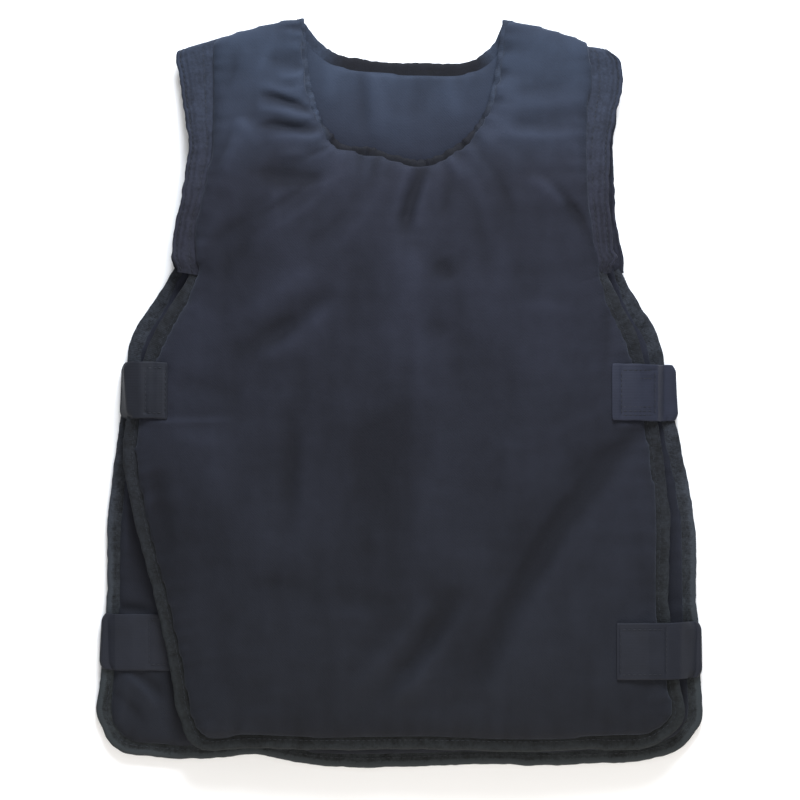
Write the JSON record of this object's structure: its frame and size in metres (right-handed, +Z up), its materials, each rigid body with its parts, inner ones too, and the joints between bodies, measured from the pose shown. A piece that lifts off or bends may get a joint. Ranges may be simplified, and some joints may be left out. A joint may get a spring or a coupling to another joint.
{
  "type": "stab vest",
  "caption": "Padded stab vest lying on its back: front and back panels joined at the shoulders, bound neck and edges, flat armhole bands and webbing side straps.",
  "frame": {"origin": "centre of the footprint, on the ground that the vest lies on", "axes": "+Y towards the neck, +Z up out of the front, +X towards the right-hand side seen from above"},
  "size_m": [0.5168, 0.6394, 0.0463],
  "materials": {
    "cover": "navy poly-cotton twill over padding, softly wrinkled, matte",
    "armhole_band": "double-folded navy twill, topstitched, matte",
    "binding": "folded black woven tape, gathered at the neck, matte",
    "webbing": "dark woven elastic webbing with box stitching, slightly glossy"
  },
  "bodies": {
    "root": {"front_panel": "cover", "back_panel": "cover", "neck_binding": "binding", "left_armhole_band": "armhole_band", "right_armhole_band": "armhole_band", "front_edge_binding": "binding", "back_edge_binding": "binding", "upper_left_strap": "webbing", "upper_right_strap": "webbing", "lower_left_strap": "webbing", "lower_right_strap": "webbing"}
  },
  "joints": []
}
